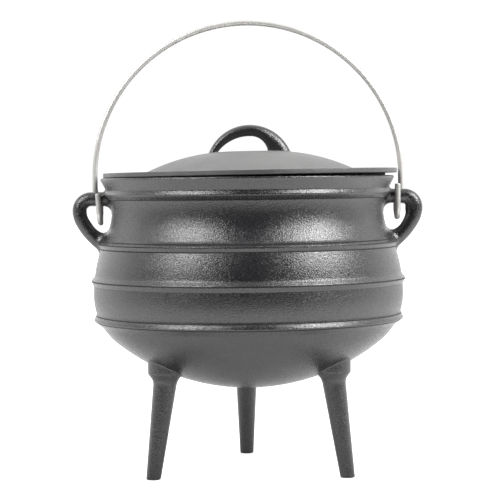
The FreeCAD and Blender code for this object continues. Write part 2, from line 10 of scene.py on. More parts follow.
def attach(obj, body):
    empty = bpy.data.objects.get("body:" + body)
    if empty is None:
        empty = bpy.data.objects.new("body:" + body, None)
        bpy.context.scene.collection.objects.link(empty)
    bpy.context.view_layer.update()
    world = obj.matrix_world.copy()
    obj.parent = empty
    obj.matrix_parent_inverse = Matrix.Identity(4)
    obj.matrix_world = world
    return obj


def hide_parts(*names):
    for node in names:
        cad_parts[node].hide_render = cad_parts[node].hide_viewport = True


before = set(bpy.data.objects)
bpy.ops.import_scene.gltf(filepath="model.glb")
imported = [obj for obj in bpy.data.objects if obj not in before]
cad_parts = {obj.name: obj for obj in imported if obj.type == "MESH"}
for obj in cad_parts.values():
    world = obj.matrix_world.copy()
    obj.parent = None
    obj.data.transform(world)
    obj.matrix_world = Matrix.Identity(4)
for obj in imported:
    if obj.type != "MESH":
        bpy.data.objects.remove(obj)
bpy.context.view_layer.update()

# Sizes of the castings in millimetres. They are those of the part's own source, but the belly and
# the underside are up to about a millimetre fuller, as the photo shows them.

MILLIMETRE = 0.001
WALL = 5.0
BELLY_RADIUS = 137.5
BELLY_HEIGHT = 158.0
KNUCKLE_RADIUS = 54.0
BOTTOM_RADIUS = 186.9
NECK_RADIUS = 120.8
NECK_RISE = 73.5
NECK_HEIGHT = BELLY_HEIGHT + NECK_RISE
NECK_CURVE = 42.0
RIM_RADIUS = 130.5
RIM_HEIGHT = NECK_HEIGHT + 30.2
RIM_SHOULDER = 1.4
MOUTH_RADIUS = RIM_RADIUS - RIM_SHOULDER - 4.5
LIP_FLARE = math.radians(30)

# Arcs of the wall, each as the place of its centre out and up, and its radius
KNUCKLE_ARC = (BELLY_RADIUS - KNUCKLE_RADIUS, BELLY_HEIGHT, KNUCKLE_RADIUS)
BOTTOM_RISE = math.sqrt((BOTTOM_RADIUS - KNUCKLE_RADIUS) ** 2 - KNUCKLE_ARC[0] ** 2)
BOTTOM_ARC = (0.0, BELLY_HEIGHT + BOTTOM_RISE, BOTTOM_RADIUS)
NECK_ARC = (NECK_RADIUS + NECK_CURVE, NECK_HEIGHT, NECK_CURVE)
NECK_INSET = BELLY_RADIUS - NECK_RADIUS
SHOULDER = (NECK_INSET**2 + NECK_RISE**2) / (2 * NECK_INSET) - NECK_CURVE
SHOULDER_ARC = (BELLY_RADIUS - SHOULDER, BELLY_HEIGHT, SHOULDER)
KNUCKLE_TURN = math.degrees(math.atan2(BOTTOM_ARC[1] - BELLY_HEIGHT, KNUCKLE_ARC[0]))
NECK_TURN = math.degrees(math.atan2(NECK_RISE, NECK_ARC[0] - SHOULDER_ARC[0]))

# Straight down in degrees, but just off the axis, so that the innermost ring isn't a point
STRAIGHT_DOWN = -89.99

# Raised bands: middle, half the height, how far the crest stands out
BANDS = [
    (NECK_HEIGHT + 15.0, 4.0, 3.2),
    (BELLY_HEIGHT + 45.3, 4.2, 3.3),
    (BELLY_HEIGHT + 13.1, 4.4, 2.9),
    (BELLY_HEIGHT - 22.0, 5.6, 5.2),
]

# Fine creases along the bands, each with a line of painted shade: height, depth, half the height of
# the painted shade line
CREASES = [
    (NECK_HEIGHT + 11.0, 0.35, 0.42),
    (BELLY_HEIGHT + 48.0, 0.20, 0.38),
    (BELLY_HEIGHT + 45.3, 0.20, 0.38),
    (BELLY_HEIGHT + 41.2, 0.30, 0.42),
    (BELLY_HEIGHT + 13.2, 0.25, 0.36),
    (BELLY_HEIGHT + 8.6, 0.15, 0.25),
    (BELLY_HEIGHT - 17.5, 0.25, 0.45),
    (BELLY_HEIGHT - 20.8, 0.15, 0.25),
    (BELLY_HEIGHT - 23.1, 0.15, 0.30),
]

# Unevenness of the wall: waves round the pot, height of one radian, phase and weight of each
WAVES = [(2, 31, 0.0, 1.0), (5, -17, 1.3, 1.0), (9, 23, 4.1, 1.0), (17, -7, 2.2, 0.7)]
WAVE_DEPTH = 0.03
WAVE_MIDDLE = 2.2

BAR_HEIGHT = NECK_HEIGHT + 11.8
BAR_RADIUS = 6.3
EAR_REACH = NECK_RADIUS + 28.65
EAR_CORNER = 10.2
EAR_BEND = 21.4
EAR_SLOPE = 66.0

LEG_BEARINGS = (92.0, 210.0, 330.0)
LEG_SLOPE = math.tan(math.radians(8.6))
LEG_TOP_RADIUS = 10.6
LEG_FLARE = 2.2
FOOT_RADIUS = 6.3
FOOT_EDGE = 1.2
COLLAR_CIRCLE = 84.0
COLLAR_RADIUS = 15.5
COLLAR_EDGE = BOTTOM_ARC[1] - math.sqrt(BOTTOM_ARC[2] ** 2 - COLLAR_CIRCLE**2) - 1.6
LEG_TOP = COLLAR_EDGE - 5.0

LID_RADIUS = RIM_RADIUS - 0.1
LID_FLANGE = 4.2
LID_WALL = 4.5
LID_EDGE = 0.7
DOME_TOP = LID_FLANGE + 17.3
DOME_FLAT = 17.7
DOME_CURVE = 170.0
DOME_FOOT = 12.0
LID_SHIFT = 2.6
LID_TILT = math.radians(0.5)
LID_LIFT = (RIM_RADIUS - RIM_SHOULDER + LID_SHIFT) * math.sin(LID_TILT)
LID_PLACE = (LID_SHIFT, 0.0, RIM_HEIGHT + LID_LIFT)

WIRE_RADIUS = 2.5
WIRE_EDGE = 0.8
HOOK_PLAY = 0.35
BEHIND_BAR = BAR_RADIUS + HOOK_PLAY + WIRE_RADIUS
BAIL_SHIFT = 0.6
BAIL_PLAY = 2.0
BAIL_RADIUS = LID_RADIUS + LID_SHIFT - BAIL_SHIFT + BAIL_PLAY + WIRE_RADIUS
BAIL_CENTRE = NECK_HEIGHT + 30.5
BAIL_STRAIGHT = 9.0
JOG_HEIGHT = 16.0

# Columns of points round each form
ROUND_COLUMNS = 240
EAR_COLUMNS = 48
LEG_COLUMNS = 56
HANDLE_COLUMNS = 40
WIRE_COLUMNS = 20

# Places of the further materials on the pot and on the lid
# The pot's second material is a painted shade in the band creases
POT_CREASE_SHADE = 1
# The lid's last material is a painted shade at the flange's lower corner
LID_HANDLE, LID_RIM, LID_CORNER_SHADE = 1, 2, 3


# Meshes

def as_object(name, vertices, faces, body, node):
    """A smooth-shaded mesh from millimetres, riding on a body in place of a node."""
    mesh = bpy.data.meshes.new(name)
    mesh.from_pydata((np.asarray(vertices) * MILLIMETRE).tolist(), [], faces)
    mesh.validate()
    mesh.shade_smooth()
    piece = bpy.data.objects.new(name, mesh)
    bpy.context.scene.collection.objects.link(piece)
    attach(piece, body)
    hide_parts(node)
    return piece


class Builder:
    """Collects the vertices and faces of one casting."""

    def __init__(self):
        self.vertices = []
        self.faces = []

    def add(self, rows, flip=False, cap_first=False, cap_last=False):
        """Add closed rings of points, an array of rows by columns by 3, with quads between them."""
        rows = np.asarray(rows, float)
        count, columns = rows.shape[:2]
        start = len(self.vertices)
        faces = []
        for row in range(count - 1):
            first = start + row * columns
            for column in range(columns):
                following = (column + 1) % columns
                near, far = first + column, first + following
                faces.append((near, far, far + columns, near + columns))
        if cap_first:
            faces.append(tuple(start + column for column in reversed(range(columns))))
        if cap_last:
            last = start + (count - 1) * columns
            faces.append(tuple(last + column for column in range(columns)))
        if flip:
            faces = [tuple(reversed(face)) for face in faces]
        self.vertices.extend(rows.reshape(-1, 3).tolist())
        self.faces.extend(faces)

    def middles(self):
        """The middle of each face so far, where all of them have four corners."""
        return np.array(self.vertices)[np.array(self.faces)].mean(axis=1)


def around(columns):
    """Even steps of angle round a closed ring."""
    return np.linspace(0, 2 * math.pi, columns, endpoint=False)


def unit(vectors):
    """Each row brought to length 1."""
    return vectors / np.linalg.norm(vectors, axis=1, keepdims=True)


def across(points):
    """Distance of points from the upright axis."""
    return np.hypot(points[..., 0], points[..., 1])


def arc(circle, start, end, step=1.0):
    """Points along an arc in (radius, height), from one angle in degrees to another."""
    x, z, radius = circle
    count = max(3, int(abs(math.radians(end - start)) * radius / step) + 1)
    angles = np.radians(np.linspace(start, end, count))
    return np.column_stack([x + radius * np.cos(angles), z + radius * np.sin(angles)])


def thin_out(points, tolerance=0.012, longest=4.0, ahead=160):
    """Drop points that a straight line stands for, keeping none further apart than longest."""
    keep = [0]
    while keep[-1] < len(points) - 1:
        first = keep[-1]
        best = first + 1
        for last in range(first + 2, min(first + ahead, len(points))):
            chord = points[last] - points[first]
            length = np.linalg.norm(chord)
            if length > longest:
                break
            between = points[first + 1:last] - points[first]
            away = np.abs(between[:, 0] * chord[1] - between[:, 1] * chord[0]) / max(length, 1e-9)
            if away.max() > tolerance:
                break
            best = last
        keep.append(best)
    return points[keep]


def thin_rows(rows, spacing):
    """Rows at about the given spacing, ends kept."""
    keep = [0]
    for index in range(1, len(rows)):
        if np.linalg.norm(rows[index, 0] - rows[keep[-1], 0]) >= spacing:
            keep.append(index)
    if keep[-1] != len(rows) - 1:
        keep.append(len(rows) - 1)
    return rows[keep]


def soften(values, step, width):
    """Smooth a sampled line, which rounds its corners."""
    reach = int(4 * width / step)
    offsets = np.arange(-reach, reach + 1) * step
    weights = np.exp(-0.5 * (offsets / width) ** 2)
    padded = np.pad(values, reach, mode="reflect", reflect_type="odd")
    return np.convolve(padded, weights / weights.sum(), mode="valid")


def even_steps(points, step):
    """Even steps along a line of points in any number of dimensions."""
    points = np.asarray(points, float)
    lengths = np.concatenate([[0], np.cumsum(np.linalg.norm(np.diff(points, axis=0), axis=1))])
    places = np.linspace(0, lengths[-1], int(lengths[-1] / step) + 1)
    return np.column_stack([np.interp(places, lengths, values) for values in points.T])


# Pot

def circle_side(circle, height, side):
    """How far out an arc stands at a height; side is 1 for its outer half, -1 for its inner."""
    x, z, radius = circle
    return x + side * np.sqrt(np.maximum(radius**2 - (height - z) ** 2, 0))


def wall_radius(height):
    """Outer radius of the bowl without its bands, from the knuckle up to the lip."""
    height = np.asarray(height, float)
    x, z, radius = NECK_ARC
    lip_foot = x - radius * math.cos(LIP_FLARE)
    lip_start = z + radius * math.sin(LIP_FLARE)
    lip_end = RIM_HEIGHT - RIM_SHOULDER
    lip = lip_foot + (RIM_RADIUS - lip_foot) * (height - lip_start) / (lip_end - lip_start)
    meeting = BELLY_HEIGHT + NECK_RISE * SHOULDER / (SHOULDER + radius)
    return np.select(
        [height < BELLY_HEIGHT, height < meeting, height < lip_start],
        [
            circle_side(KNUCKLE_ARC, height, 1),
            circle_side(SHOULDER_ARC, height, 1),
            circle_side(NECK_ARC, height, -1),
        ],
        lip,
    )


def banded_radius(height):
    """The same with the raised bands; what the softening takes off a crest is added to it."""
    softening_loss = 0.3
    outer = wall_radius(height)
    for middle, half, rise in BANDS:
        low, high = wall_radius(middle - half), wall_radius(middle + half)
        crest = (low + high) / 2 + rise + softening_loss
        above = high + (crest - high) * (middle + half - height) / half
        below = low + (crest - low) * (height - middle + half) / half
        outer = np.maximum(outer, np.minimum(above, below))
    return outer


# The outer face of the wall as samples up its height: softened, then cut by the creases' grooves
SAMPLE_STEP = 0.1
SAMPLE_SOFTNESS = 0.75
GROOVE_WIDTH = 0.45
WALL_HEIGHTS = np.arange(BELLY_HEIGHT - 35.0, RIM_HEIGHT - RIM_SHOULDER, SAMPLE_STEP)
WALL_RADII = soften(banded_radius(WALL_HEIGHTS), SAMPLE_STEP, SAMPLE_SOFTNESS)
for crease_height, crease_depth, _ in CREASES:
    WALL_RADII -= crease_depth * np.exp(-(((WALL_HEIGHTS - crease_height) / GROOVE_WIDTH) ** 2))


def outer_radius(height):
    """Outer radius of the finished wall."""
    return np.interp(height, WALL_HEIGHTS, WALL_RADII)


def under_height(radius):
    """Height of the bowl's underside at a distance from the axis."""
    radius = np.asarray(radius, float)
    x, z, size = BOTTOM_ARC
    bottom = z - np.sqrt(np.maximum(size**2 - radius**2, 0))
    x, z, size = KNUCKLE_ARC
    knuckle = z - np.sqrt(np.maximum(size**2 - (radius - x) ** 2, 0))
    meeting = BOTTOM_ARC[2] * math.cos(math.radians(KNUCKLE_TURN))
    return np.where(radius < meeting, bottom, knuckle)


def lathe(profile, wobble=None):
    """Rings round Z from an outline in (radius, height)."""
    turn = around(ROUND_COLUMNS)
    radius = np.repeat(profile[:, :1], ROUND_COLUMNS, axis=1)
    height = np.repeat(profile[:, 1:], ROUND_COLUMNS, axis=1)
    if wobble is not None:
        radius = radius - wobble(turn[None, :], height)
    return np.stack([radius * np.cos(turn), radius * np.sin(turn), height], axis=2)


def casting_wobble(turn, height):
    """Slight unevenness of a hand-moulded casting, mostly inwards."""
    waves = sum(
        weight * np.sin(count * turn + height / rise + phase)
        for count, rise, phase, weight in WAVES
    )
    return WAVE_DEPTH * (waves + WAVE_MIDDLE)


def bowl_outline():
    """The bowl's section, from the middle of its underside round the rim to the middle inside."""
    # The first and last samples are left out, where the softening had too little to go by
    first, last = 6, -4
    lowest = (WALL_HEIGHTS[first - 1] - BELLY_HEIGHT) / KNUCKLE_RADIUS
    outside = np.vstack(
        [
            arc(BOTTOM_ARC, STRAIGHT_DOWN, -KNUCKLE_TURN)[:-1],
            arc(KNUCKLE_ARC, -KNUCKLE_TURN, math.degrees(math.asin(lowest)), step=0.5)[:-1],
            np.column_stack([WALL_RADII, WALL_HEIGHTS])[first:last],
        ]
    )
    outer_edge, inner_edge, set_in = RIM_SHOULDER + 0.2, 1.0, 0.15
    outer = (RIM_RADIUS - set_in - outer_edge, RIM_HEIGHT - outer_edge, outer_edge)
    inner = (MOUTH_RADIUS + inner_edge, RIM_HEIGHT - inner_edge, inner_edge)
    top = np.vstack([arc(outer, 5, 90, step=0.25), arc(inner, 90, 180, step=0.25)])
    x, z, radius = NECK_ARC
    neck = radius + WALL
    mouth = [
        [MOUTH_RADIUS, RIM_HEIGHT - 2.5],
        [x - neck * math.cos(LIP_FLARE), z + neck * math.sin(LIP_FLARE)],
    ]
    shoulder = (SHOULDER_ARC[0], BELLY_HEIGHT, SHOULDER - WALL)
    knuckle = (KNUCKLE_ARC[0], BELLY_HEIGHT, KNUCKLE_RADIUS - WALL)
    bottom = (0.0, BOTTOM_ARC[1], BOTTOM_RADIUS - WALL)
    inside = np.vstack(
        [
            mouth,
            arc((x, z, neck), 180 - math.degrees(LIP_FLARE), 180 + NECK_TURN, step=1.5),
            arc(shoulder, NECK_TURN, 0, step=2.0),
            arc(knuckle, 0, -KNUCKLE_TURN, step=1.5),
            arc(bottom, -KNUCKLE_TURN, STRAIGHT_DOWN, step=3.0),
        ]
    )
    return np.vstack([thin_out(outside), top, inside])


def rooted(surface, outside, project, reach, rings, root_rings=9):
    """Cut a tube where it leaves a surface and blend its end into that surface.

    surface is (steps, columns, 3) and comes out of the wall at its first row; outside gives the
    distance of points from the wall; project lays points on the wall, moved outwards by reach,
    one for all columns or one for each; the blend runs as far along the tube as along the wall.
    """
    distance = outside(surface)
    columns = surface.shape[1]
    reach = np.broadcast_to(reach, columns)
    lengths = np.linalg.norm(np.diff(surface, axis=0), axis=2)
    along = np.vstack([np.zeros((1, columns)), np.cumsum(lengths, axis=0)])
    middle = surface.mean(axis=1)
    root = np.zeros((columns, 3))
    root_along = np.zeros(columns)
    centre = np.zeros((columns, 3))
    for column in range(columns):
        last = np.nonzero(distance[:, column] < 0)[0][-1]
        within, beyond = distance[last, column], distance[last + 1, column]
        share = -within / (beyond - within)
        root_along[column] = along[last, column] + share * lengths[last, column]
        step = surface[last + 1, column] - surface[last, column]
        root[column] = surface[last, column] + share * step
        centre[column] = middle[last]
    foot = project(root, root - centre, reach[:, None])
    start = root_along + reach
    tube_rows = []
    for place in np.linspace(0, 1, rings):
        targets = start + (along[-1] - start) * place
        tube_rows.append(
            [
                [np.interp(targets[c], along[:, c], surface[:, c, i]) for i in range(3)]
                for c in range(columns)
            ]
        )
    tube_rows = np.array(tube_rows)
    shares = np.linspace(0, 1, root_rings, endpoint=False)[:, None, None]
    blend = (1 - shares) ** 2 * foot + 2 * shares * (1 - shares) * root + shares**2 * tube_rows[0]
    return np.vstack([blend, tube_rows])


def rooted_twice(tube, outside, project, reaches, rings):
    """A tube with both its ends blended in; reaches and rings are for its first and last half."""
    middle = len(tube) // 2
    first = rooted(tube[:middle + 1], outside, project, reaches[0], rings[0])
    last = rooted(tube[middle:][::-1], outside, project, reaches[1], rings[1])
    return np.vstack([first, last[::-1][1:]])


def wall_distance(points):
    """Distance of points outside the bowl's wall, straight outwards."""
    return across(points) - outer_radius(points[..., 2])


def lay_on_wall(points, outward, reach):
    """Points on the bowl's wall, moved outward along the wall by reach."""
    near, sunk = 2.0, 0.25
    radius = across(points)
    rise = outer_radius(points[:, 2] + near) - outer_radius(points[:, 2] - near)
    slope = rise / (2 * near)
    normal = unit(np.column_stack([points[:, 0] / radius, points[:, 1] / radius, -slope]))
    along = unit(outward - normal * np.sum(outward * normal, axis=1, keepdims=True))
    placed = points + along * reach
    wanted = outer_radius(placed[:, 2]) - sunk
    placed[:, :2] *= (wanted / across(placed))[:, None]
    return placed


def ear_line():
    """The middle of an ear's bar in (out, up): out of the neck, round the corner, down."""
    turn, end = 30.0, 54.0
    within_wall, past_slope = 112.0, 12
    corner = (EAR_REACH - EAR_CORNER, BAR_HEIGHT - EAR_CORNER, EAR_CORNER)
    bend = (EAR_REACH - EAR_BEND, BAR_HEIGHT - EAR_CORNER, EAR_BEND)
    foot = arc(bend, 0, -turn)[-1]
    away = np.array([math.cos(math.radians(turn)), -math.sin(math.radians(turn))])
    slope = (*(foot - EAR_SLOPE * away), EAR_SLOPE)
    line = np.vstack(
        [
            [[within_wall, BAR_HEIGHT], [corner[0], BAR_HEIGHT]],
            arc(corner, 90, 0, step=0.4),
            arc(bend, 0, -turn, step=0.4),
            arc(slope, -turn, -end, step=0.6),
        ]
    )
    down = np.array([math.sin(math.radians(end)), math.cos(math.radians(end))])
    return even_steps(np.vstack([line, [line[-1] - past_slope * down]]), 0.3)


def ear_rings(side):
    """One ear, blended into the wall at both ends."""
    line = ear_line()
    tangent = unit(np.gradient(line, axis=0))
    normal = np.column_stack([-tangent[:, 1], tangent[:, 0]])
    turn = around(EAR_COLUMNS)
    inner = np.maximum(0, -np.cos(turn))

    # The right ear is thicker on the inside of its bend
    thicker, place, spread = 2.8, 0.45, 0.14
    along = np.linspace(0, 1, len(line))[:, None]
    swell = thicker * max(side, 0) * np.exp(-(((along - place) / spread) ** 2))
    radius = BAR_RADIUS + swell * inner
    out = line[:, :1] + radius * normal[:, :1] * np.cos(turn)
    up = line[:, 1:] + radius * normal[:, 1:] * np.cos(turn)
    depth = np.repeat(BAR_RADIUS * np.sin(turn)[None, :], len(line), axis=0)
    tube = np.stack([out * side, depth, up], axis=2)
    reaches = (4.2 + 3.8 * inner, 6.0 + 6.0 * inner)
    return rooted_twice(tube, wall_distance, lay_on_wall, reaches, rings=(40, 34))


def below_bowl(points):
    """Distance of points below the bowl's underside, straight down."""
    return under_height(across(points)) - points[..., 2]


def lay_under(points, outward, reach):
    """Points on the bowl's underside, moved outward by reach."""
    sunk = 0.12
    placed = points + unit(outward * np.array([1.0, 1.0, 0.0])) * reach
    placed[:, 2] = under_height(across(placed)) + sunk
    return placed


def leg_rings(bearing):
    """A leg with its collar, from the bowl down to the level foot."""
    step, flare_height, bevel_height = 0.2, 8.0, 3.4
    heights = np.arange(0.0, COLLAR_EDGE + 27.0, step)
    leg = FOOT_RADIUS + (LEG_TOP_RADIUS - FOOT_RADIUS) * heights / LEG_TOP
    flare = LEG_FLARE * np.clip((heights - LEG_TOP + flare_height) / flare_height, 0, 1) ** 3
    widening = COLLAR_RADIUS - LEG_TOP_RADIUS - LEG_FLARE
    bevel = LEG_TOP_RADIUS + LEG_FLARE + widening * (heights - LEG_TOP) / bevel_height
    radius = np.where(heights < LEG_TOP, leg + flare, np.minimum(bevel, COLLAR_RADIUS))
    radius = soften(radius, step, 0.55)
    splayed = COLLAR_CIRCLE + (LEG_TOP - heights) * LEG_SLOPE
    middle = soften(np.where(heights < LEG_TOP, splayed, COLLAR_CIRCLE), step, 1.2)
    turn = around(LEG_COLUMNS)
    out = middle[:, None] + radius[:, None] * np.cos(turn)
    side = radius[:, None] * np.sin(turn)
    angle = math.radians(bearing)
    x = out * math.cos(angle) - side * math.sin(angle)
    y = out * math.sin(angle) + side * math.cos(angle)
    tube = np.stack([x, y, np.repeat(heights[:, None], LEG_COLUMNS, axis=1)], axis=2)

    upper_length, root_reach = 40, 1.8
    upper = tube[::-1][:int(upper_length / step)]
    upper = rooted(upper, below_bowl, lay_under, root_reach, rings=70)
    below = thin_rows(tube[heights < upper[-1, 0, 2]][::-1], 2.5)
    below = below[below[:, 0, 2] > FOOT_EDGE + 0.1]
    centre = tube[0].mean(axis=0)
    rounding = []
    for bend in np.linspace(0, math.pi / 2, 6):
        row = tube[0] + (centre - tube[0]) * (FOOT_EDGE * (1 - math.cos(bend)) / FOOT_RADIUS)
        row[:, 2] = FOOT_EDGE * (1 - math.sin(bend))
        rounding.append(row)
    return np.vstack([upper, below[1:], np.array(rounding)])


def build_pot():
    """The pot; the creases along its bands take the second material, a painted shade."""
    builder = Builder()
    builder.add(lathe(bowl_outline(), casting_wobble))
    bowl = builder.middles()
    for side in (-1, 1):
        builder.add(ear_rings(side), flip=side > 0)
    for bearing in LEG_BEARINGS:
        builder.add(leg_rings(bearing), flip=True, cap_last=True)
    piece = as_object("pot_casting", builder.vertices, builder.faces, "pot_body", "pot")
    outside = wall_distance(bowl) > -1.0
    for height, _, half in CREASES:
        for index in np.nonzero(outside & (np.abs(bowl[:, 2] - height) < half))[0]:
            piece.data.polygons[int(index)].material_index = POT_CREASE_SHADE
    return piece


# Lid, on its own axes: the flange's underside is at height 0

FOOT_RISE = DOME_TOP - DOME_CURVE - LID_FLANGE - DOME_FOOT
FOOT_REACH = math.sqrt((DOME_CURVE + DOME_FOOT) ** 2 - FOOT_RISE**2)
DOME_ARC = (DOME_FLAT, DOME_TOP - DOME_CURVE, DOME_CURVE)
FOOT_ARC = (DOME_FLAT + FOOT_REACH, LID_FLANGE + DOME_FOOT, DOME_FOOT)
DOME_MEETING = DOME_FLAT + FOOT_REACH * DOME_CURVE / (DOME_CURVE + DOME_FOOT)


def dome_height(radius):
    """Height of the lid's upper face."""
    radius = np.asarray(radius, float)
    x, z, size = DOME_ARC
    dome = z + np.sqrt(np.maximum(size**2 - np.maximum(radius - x, 0) ** 2, 0))
    x, z, size = FOOT_ARC
    foot = z - np.sqrt(np.maximum(size**2 - (radius - x) ** 2, 0))
    flange = np.where(radius < FOOT_ARC[0], foot, LID_FLANGE)
    return np.where(radius < DOME_MEETING, dome, flange)


def lid_outline():
    """The lid's section, from the middle of the dome round the flange to the middle inside."""
    axis = 0.02
    top = np.concatenate(
        [
            np.linspace(axis, DOME_MEETING, 70),
            np.linspace(DOME_MEETING, FOOT_ARC[0], 10)[1:],
            np.linspace(FOOT_ARC[0], LID_RADIUS - 1.5, 4)[1:],
        ]
    )
    edge = LID_RADIUS - LID_EDGE
    ring = MOUTH_RADIUS - 4.6
    ring_depth, ring_width, corner = 4.6, 4.5, 1.0
    ring_foot = corner - ring_depth
    ring_inside = ring - ring_width
    ceiling = DOME_TOP - LID_WALL
    inner = (DOME_FLAT, ceiling - (DOME_CURVE - LID_WALL), DOME_CURVE - LID_WALL)
    start = math.degrees(math.asin(-inner[1] / inner[2]))
    hollow = inner[0] + inner[2] * math.cos(math.radians(start))
    return np.vstack(
        [
            np.column_stack([top, dome_height(top)]),
            arc((edge, LID_FLANGE - LID_EDGE, LID_EDGE), 90, 0, step=0.2),
            arc((edge, LID_EDGE, LID_EDGE), 0, -90, step=0.2),
            [[ring + 1.0, 0.0], [ring, -0.05]],
            arc((ring - corner, ring_foot, corner), 0, -90, step=0.4),
            arc((ring_inside + corner, ring_foot, corner), -90, -180, step=0.4),
            [[ring_inside, -0.1], [hollow + 1.0, 0.0]],
            arc(inner, start, 90, step=3.0),
            [[DOME_FLAT / 2, ceiling], [axis, ceiling]],
        ]
    )


def arch_line(half_span, rise, foot, count):
    """An arc over a whole span at the dome's top, run down on both sides to the level of foot."""
    radius = (half_span**2 + rise**2) / (2 * rise)
    span = math.degrees(math.acos((foot - rise + radius) / radius))
    angles = np.radians(90 - np.linspace(-1, 1, count) * span)
    height = DOME_TOP + rise - radius + radius * np.sin(angles)
    return np.column_stack([radius * np.cos(angles), height])


def above_dome(points):
    """Distance of points above the lid's upper face, straight up."""
    return points[..., 2] - dome_height(across(points))


def lay_on_dome(points, outward, reach):
    """Points on the lid's upper face, moved outward by reach."""
    sunk = 0.05
    level = outward * np.array([1.0, 1.0, 0.0])
    level /= np.maximum(np.linalg.norm(level, axis=1, keepdims=True), 1e-6)
    placed = points + level * reach
    placed[:, 2] = dome_height(across(placed)) - sunk
    return placed


def handle_rings():
    """The arch over the lid, with a thicker right foot."""
    rise, inner_rise, foot, count = 23.5, 13.3, -6.0, 241
    half_span, inner_half_span, half_depth = 36.0, 28.0, 7.5
    outside = arch_line(half_span, rise, foot, count)
    inside = arch_line(inner_half_span, inner_rise, foot, count)

    # The right foot swells inwards: its inner face turns down sooner, in a tighter curve
    shares = np.linspace(-1, 1, count)
    turned, blended = 0.42, 0.3
    tight, side = 15.5, 16.3
    bend = np.clip(shares / turned, 0, 1) * math.pi / 2
    drop = np.clip((shares - turned) / (1 - turned), 0, 1) * (inner_rise - tight - foot)
    swollen = np.column_stack(
        [
            side - tight + tight * np.sin(bend),
            DOME_TOP + inner_rise - tight * (1 - np.cos(bend)) - drop,
        ]
    )
    swell = np.clip(shares / blended, 0, 1)
    swell = (swell * swell * (3 - 2 * swell))[:, None]
    inside = inside * (1 - swell) + swollen * swell

    # A square with well rounded corners, the outer ones rounder than the inner ones
    turn = around(HANDLE_COLUMNS)
    outer_roundness, inner_roundness = 0.88, 0.62
    roundness = np.where(np.cos(turn) > 0, outer_roundness, inner_roundness)
    thick = np.sign(np.cos(turn)) * np.abs(np.cos(turn)) ** roundness
    depth = np.sign(np.sin(turn)) * np.abs(np.sin(turn)) ** roundness * half_depth
    middle, half = (outside + inside) / 2, (outside - inside) / 2
    flat = middle[:, None, :] + half[:, None, :] * thick[None, :, None]
    depth = np.repeat(depth[None, :], count, axis=0)
    tube = np.stack([flat[..., 0], depth, flat[..., 1]], axis=2)
    return rooted_twice(tube, above_dome, lay_on_dome, reaches=(1.2, 1.2), rings=(40, 40))


def build_lid():
    """The lid; the handle, the flange's edge and its lower corner take the other materials, the
    corner a painted shade of the gap over the rim.
    """
    builder = Builder()
    builder.add(lathe(lid_outline()), flip=True)
    flange_and_dome = len(builder.faces)
    middles = builder.middles()
    builder.add(handle_rings())
    tilt = np.array(Matrix.Rotation(-LID_TILT, 3, "Y"))
    points = np.array(builder.vertices) @ tilt.T + np.array(LID_PLACE)
    piece = as_object("lid_casting", points, builder.faces, "pot_body", "lid")
    for polygon in piece.data.polygons[flange_and_dome:]:
        polygon.material_index = LID_HANDLE
    # Faces low on the flange's rounded edge get the painted shade of the gap over the rim
    edge_depth, crease_height = 0.75, 0.5
    # The flange's edge takes a tone with less painted light than the dome
    for index in np.nonzero(across(middles) > LID_RADIUS - edge_depth)[0]:
        above = middles[index, 2] > crease_height
        piece.data.polygons[int(index)].material_index = LID_RIM if above else LID_CORNER_SHADE
    return piece


# Bail

def bail_end(side, beyond_neck, drop, tip, lean):
    """The middle of the wire from its tip round the hook and up the jog to the foot of the arch.

    The hook stands beyond_neck out from the neck and hangs by drop under the bar; its tip ends
    above the bar's middle by tip.
    """
    hook = NECK_RADIUS + beyond_neck
    inset = BAIL_RADIUS + BAIL_SHIFT * side - hook
    curve = (inset**2 + JOG_HEIGHT**2) / (4 * inset)
    jog_foot = BAIL_CENTRE - BAIL_STRAIGHT - JOG_HEIGHT
    points = [(hook, -BEHIND_BAR, BAR_HEIGHT + tip)]
    for angle in np.radians(np.linspace(180, 360, 50)):
        height = BAR_HEIGHT - drop + BEHIND_BAR * math.sin(angle)
        points.append((hook, BEHIND_BAR * math.cos(angle), height))
    for height in np.linspace(0, JOG_HEIGHT, 41):
        nearer = min(height, JOG_HEIGHT - height)
        bow = curve - math.sqrt(curve**2 - nearer**2)
        shift = bow if height < JOG_HEIGHT / 2 else inset - bow
        points.append((hook + shift, BEHIND_BAR, jog_foot + height))
    points = np.array(points)

    # Only the front of the hook leans, so that the wire behind it clears the lip as it swings
    lean_top = BAR_HEIGHT + 4.0
    lowest = points[:, 2].min()
    fall = np.clip((lean_top - points[:, 2]) / (lean_top - lowest), 0, 1)
    front = np.clip(1 - points[:, 1] / BEHIND_BAR, 0, 1)
    points[:, 0] -= lean * (fall - 0.5) * front
    return points * np.array([side, 1, 1])


def bail_path():
    """The middle of the wire, from the left tip round to the right tip."""
    left = bail_end(-1, beyond_neck=10.7, drop=12.1, tip=5.0, lean=1.6)
    right = bail_end(1, beyond_neck=12.3, drop=9.6, tip=10.9, lean=0.0)
    sweep = np.radians(np.linspace(180, 0, 240))
    arch = np.column_stack(
        [
            BAIL_SHIFT + BAIL_RADIUS * np.cos(sweep),
            np.full(len(sweep), BEHIND_BAR),
            BAIL_CENTRE + BAIL_RADIUS * np.sin(sweep),
        ]
    )
    return even_steps(np.vstack([left, arch, right[::-1]]), 1.2)


def wire_end(ring, following):
    """Rings from the wire's cut end back over its rounded edge."""
    centre = ring.mean(axis=0)
    inward = following.mean(axis=0) - centre
    inward /= np.linalg.norm(inward)
    rings = []
    for bend in np.linspace(0, math.pi / 2, 5):
        narrower = WIRE_EDGE * (1 - math.sin(bend)) / WIRE_RADIUS
        back = inward * WIRE_EDGE * (1 - math.cos(bend))
        rings.append(ring + (centre - ring) * narrower + back)
    return np.array(rings)


